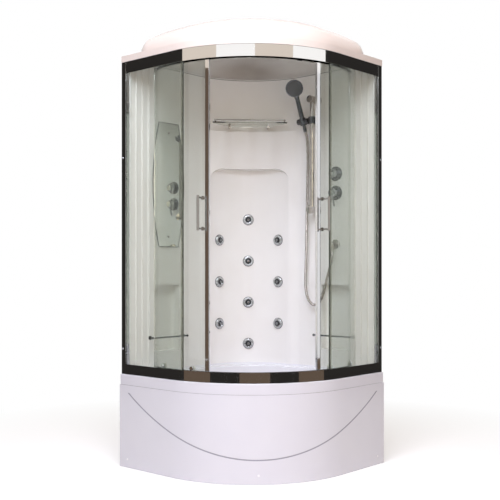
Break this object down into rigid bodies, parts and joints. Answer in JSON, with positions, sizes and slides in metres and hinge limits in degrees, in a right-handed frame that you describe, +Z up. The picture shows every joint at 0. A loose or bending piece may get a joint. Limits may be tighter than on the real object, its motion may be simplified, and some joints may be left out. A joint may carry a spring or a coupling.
{
  "type": "hydromassage shower cabin",
  "caption": "Quadrant shower cabin with a deep tray, sliding curved doors, massage jets in a hollow back rest, a hand shower on a slide bar and a domed roof.",
  "frame": {"origin": "on the floor under the middle of the cabin's outline", "axes": "+Z up; the room's corner is on +Y and the curved front faces -Y; +X is to the right seen from the front"},
  "size_m": [1.2728, 1.0475, 2.0961],
  "materials": {
    "acrylic_white": "glossy moulded acrylic",
    "acrylic_wall": "glossy moulded acrylic",
    "acrylic_roof": "glossy moulded acrylic",
    "painted_steel": "grey powder coat",
    "zinc_steel": "zinc plated",
    "white_plastic": "white screw caps",
    "chrome": "polished chrome",
    "clear_glass": "clear toughened glass",
    "shelf_glass": "clear glass",
    "mirror_glass": "silvered glass",
    "seal_rubber": "flexible seal",
    "dark_plastic": "dark moulded plastic",
    "wheel_plastic": "moulded acetal",
    "hose_steel": "ribbed metal hose",
    "pipe_plastic": "plastic pipe"
  },
  "bodies": {
    "cabin": {"tray": "acrylic_white", "tray_frame": "painted_steel", "tray_feet": "zinc_steel", "apron": "acrylic_white", "cover_screws": "white_plastic", "drain_waste": "zinc_steel", "back_panel": "acrylic_wall", "left_side_panel": "acrylic_wall", "right_side_panel": "acrylic_wall", "panel_bolts": "zinc_steel", "roof": "acrylic_roof", "wall_profiles": "chrome", "top_rail": "chrome", "bottom_rail": "chrome", "left_fixed_glass": "clear_glass", "right_fixed_glass": "clear_glass", "fixed_glass_seals": "seal_rubber", "mirror": "mirror_glass", "towel_rails": "chrome", "glass_shelf": "shelf_glass", "shelf_rail": "chrome", "slide_bar": "chrome", "outlet_elbow": "chrome", "mixer_valve": "chrome", "jet_bodies": "chrome", "water_pipes": "pipe_plastic", "shower_hose": "hose_steel"},
    "left_door": {"left_door_glass": "clear_glass", "left_door_edge": "chrome", "left_door_handle": "chrome", "left_roller_mounts": "chrome"},
    "left_wheel_top_front": {"left_wheel_top_front": "wheel_plastic"},
    "left_wheel_top_rear": {"left_wheel_top_rear": "wheel_plastic"},
    "left_wheel_low_front": {"left_wheel_low_front": "wheel_plastic"},
    "left_wheel_low_rear": {"left_wheel_low_rear": "wheel_plastic"},
    "right_door": {"right_door_glass": "clear_glass", "right_door_edge": "chrome", "right_door_handle": "chrome", "right_roller_mounts": "chrome"},
    "right_wheel_top_front": {"right_wheel_top_front": "wheel_plastic"},
    "right_wheel_top_rear": {"right_wheel_top_rear": "wheel_plastic"},
    "right_wheel_low_front": {"right_wheel_low_front": "wheel_plastic"},
    "right_wheel_low_rear": {"right_wheel_low_rear": "wheel_plastic"},
    "slider": {"slider": "chrome"},
    "shower_holder": {"shower_holder": "chrome"},
    "hand_shower": {"hand_shower": "chrome", "hand_shower_face": "dark_plastic"},
    "mixer_lever": {"mixer_lever": "chrome"},
    "diverter_knob": {"diverter_knob": "chrome"},
    "drain_strainer": {"drain_strainer": "chrome"},
    "jet_nozzle_1": {"jet_nozzle_1": "dark_plastic"},
    "jet_nozzle_2": {"jet_nozzle_2": "dark_plastic"},
    "jet_nozzle_3": {"jet_nozzle_3": "dark_plastic"},
    "jet_nozzle_4": {"jet_nozzle_4": "dark_plastic"},
    "jet_nozzle_5": {"jet_nozzle_5": "dark_plastic"},
    "jet_nozzle_6": {"jet_nozzle_6": "dark_plastic"},
    "jet_nozzle_7": {"jet_nozzle_7": "dark_plastic"},
    "jet_nozzle_8": {"jet_nozzle_8": "dark_plastic"},
    "jet_nozzle_9": {"jet_nozzle_9": "dark_plastic"},
    "jet_nozzle_10": {"jet_nozzle_10": "dark_plastic"}
  },
  "joints": [
    {"name": "left_door_slide", "type": "hinge", "parent": "cabin", "child": "left_door", "pos_m": [0, 0.02751, 0], "axis": [0, 0, 1], "range_deg": [-8.7, 24.05]},
    {"name": "left_wheel_top_front_spin", "type": "hinge", "parent": "left_door", "child": "left_wheel_top_front", "pos_m": [-0.28402, -0.38884, 1.8938], "axis": [0.5635, 0.8261, 0], "continuous": true},
    {"name": "left_wheel_top_rear_spin", "type": "hinge", "parent": "left_door", "child": "left_wheel_top_rear", "pos_m": [-0.41184, -0.26301, 1.8938], "axis": [0.8171, 0.5764, 0], "continuous": true},
    {"name": "left_wheel_low_front_spin", "type": "hinge", "parent": "left_door", "child": "left_wheel_low_front", "pos_m": [-0.28402, -0.38884, 0.496], "axis": [0.5635, 0.8261, 0], "continuous": true},
    {"name": "left_wheel_low_rear_spin", "type": "hinge", "parent": "left_door", "child": "left_wheel_low_rear", "pos_m": [-0.41184, -0.26301, 0.496], "axis": [0.8171, 0.5764, 0], "continuous": true},
    {"name": "right_door_slide", "type": "hinge", "parent": "cabin", "child": "right_door", "pos_m": [0, 0.02751, 0], "axis": [0, 0, 1], "range_deg": [-30.95, 1.8]},
    {"name": "right_wheel_top_front_spin", "type": "hinge", "parent": "right_door", "child": "right_wheel_top_front", "pos_m": [0.33198, -0.3517, 1.8938], "axis": [-0.6587, 0.7524, 0], "continuous": true},
    {"name": "right_wheel_top_rear_spin", "type": "hinge", "parent": "right_door", "child": "right_wheel_top_rear", "pos_m": [0.44376, -0.21143, 1.8938], "axis": [-0.8805, 0.4741, 0], "continuous": true},
    {"name": "right_wheel_low_front_spin", "type": "hinge", "parent": "right_door", "child": "right_wheel_low_front", "pos_m": [0.33198, -0.3517, 0.496], "axis": [-0.6587, 0.7524, 0], "continuous": true},
    {"name": "right_wheel_low_rear_spin", "type": "hinge", "parent": "right_door", "child": "right_wheel_low_rear", "pos_m": [0.44376, -0.21143, 0.496], "axis": [-0.8805, 0.4741, 0], "continuous": true},
    {"name": "slider_slide", "type": "slide", "parent": "cabin", "child": "slider", "axis": [0, 0, 1], "range_m": [-0.4, 0.06], "deforming": ["shower_hose"]},
    {"name": "holder_tilt", "type": "hinge", "parent": "slider", "child": "shower_holder", "pos_m": [0.26587, 0.08974, 1.685], "axis": [0.7071, -0.7071, 0], "range_deg": [-15, 15]},
    {"name": "hand_shower_lift", "type": "slide", "parent": "shower_holder", "child": "hand_shower", "axis": [-0.2763, -0.2763, 0.9205], "range_m": [0, 0.08]},
    {"name": "mixer_turn", "type": "hinge", "parent": "cabin", "child": "mixer_lever", "pos_m": [0.42002, 0.0063, 1.318], "axis": [-0.7071, -0.7071, 0], "range_deg": [-45, 45]},
    {"name": "diverter_turn", "type": "hinge", "parent": "cabin", "child": "diverter_knob", "pos_m": [0.42002, 0.0063, 1.413], "axis": [-0.7071, -0.7071, 0], "range_deg": [-90, 90]},
    {"name": "strainer_lift", "type": "slide", "parent": "cabin", "child": "drain_strainer", "axis": [0, 0, 1], "range_m": [0, 0.06]},
    {"name": "jet_nozzle_1_tilt", "type": "hinge", "parent": "cabin", "child": "jet_nozzle_1", "pos_m": [0, 0.29813, 0.548], "axis": [1, 0, 0], "range_deg": [-12, 12]},
    {"name": "jet_nozzle_2_tilt", "type": "hinge", "parent": "cabin", "child": "jet_nozzle_2", "pos_m": [0, 0.29813, 0.765], "axis": [1, 0, 0], "range_deg": [-12, 12]},
    {"name": "jet_nozzle_3_tilt", "type": "hinge", "parent": "cabin", "child": "jet_nozzle_3", "pos_m": [0, 0.29813, 0.982], "axis": [1, 0, 0], "range_deg": [-12, 12]},
    {"name": "jet_nozzle_4_tilt", "type": "hinge", "parent": "cabin", "child": "jet_nozzle_4", "pos_m": [0, 0.29813, 1.199], "axis": [1, 0, 0], "range_deg": [-12, 12]},
    {"name": "jet_nozzle_5_tilt", "type": "hinge", "parent": "cabin", "child": "jet_nozzle_5", "pos_m": [-0.15431, 0.245, 0.6565], "axis": [0.788, 0.6157, 0], "range_deg": [-12, 12]},
    {"name": "jet_nozzle_6_tilt", "type": "hinge", "parent": "cabin", "child": "jet_nozzle_6", "pos_m": [-0.15431, 0.245, 0.8735], "axis": [0.788, 0.6157, 0], "range_deg": [-12, 12]},
    {"name": "jet_nozzle_7_tilt", "type": "hinge", "parent": "cabin", "child": "jet_nozzle_7", "pos_m": [-0.15431, 0.245, 1.0905], "axis": [0.788, 0.6157, 0], "range_deg": [-12, 12]},
    {"name": "jet_nozzle_8_tilt", "type": "hinge", "parent": "cabin", "child": "jet_nozzle_8", "pos_m": [0.15431, 0.245, 0.6565], "axis": [0.788, -0.6157, 0], "range_deg": [-12, 12]},
    {"name": "jet_nozzle_9_tilt", "type": "hinge", "parent": "cabin", "child": "jet_nozzle_9", "pos_m": [0.15431, 0.245, 0.8735], "axis": [0.788, -0.6157, 0], "range_deg": [-12, 12]},
    {"name": "jet_nozzle_10_tilt", "type": "hinge", "parent": "cabin", "child": "jet_nozzle_10", "pos_m": [0.15431, 0.245, 1.0905], "axis": [0.788, -0.6157, 0], "range_deg": [-12, 12]}
  ],
  "couplings": [
    {"joint": "left_wheel_top_front_spin", "follows": "left_door_slide", "ratio": 53.053},
    {"joint": "left_wheel_top_rear_spin", "follows": "left_door_slide", "ratio": 53.053},
    {"joint": "left_wheel_low_front_spin", "follows": "left_door_slide", "ratio": 53.053},
    {"joint": "left_wheel_low_rear_spin", "follows": "left_door_slide", "ratio": 53.053},
    {"joint": "right_wheel_top_front_spin", "follows": "right_door_slide", "ratio": 53.053},
    {"joint": "right_wheel_top_rear_spin", "follows": "right_door_slide", "ratio": 53.053},
    {"joint": "right_wheel_low_front_spin", "follows": "right_door_slide", "ratio": 53.053},
    {"joint": "right_wheel_low_rear_spin", "follows": "right_door_slide", "ratio": 53.053}
  ]
}
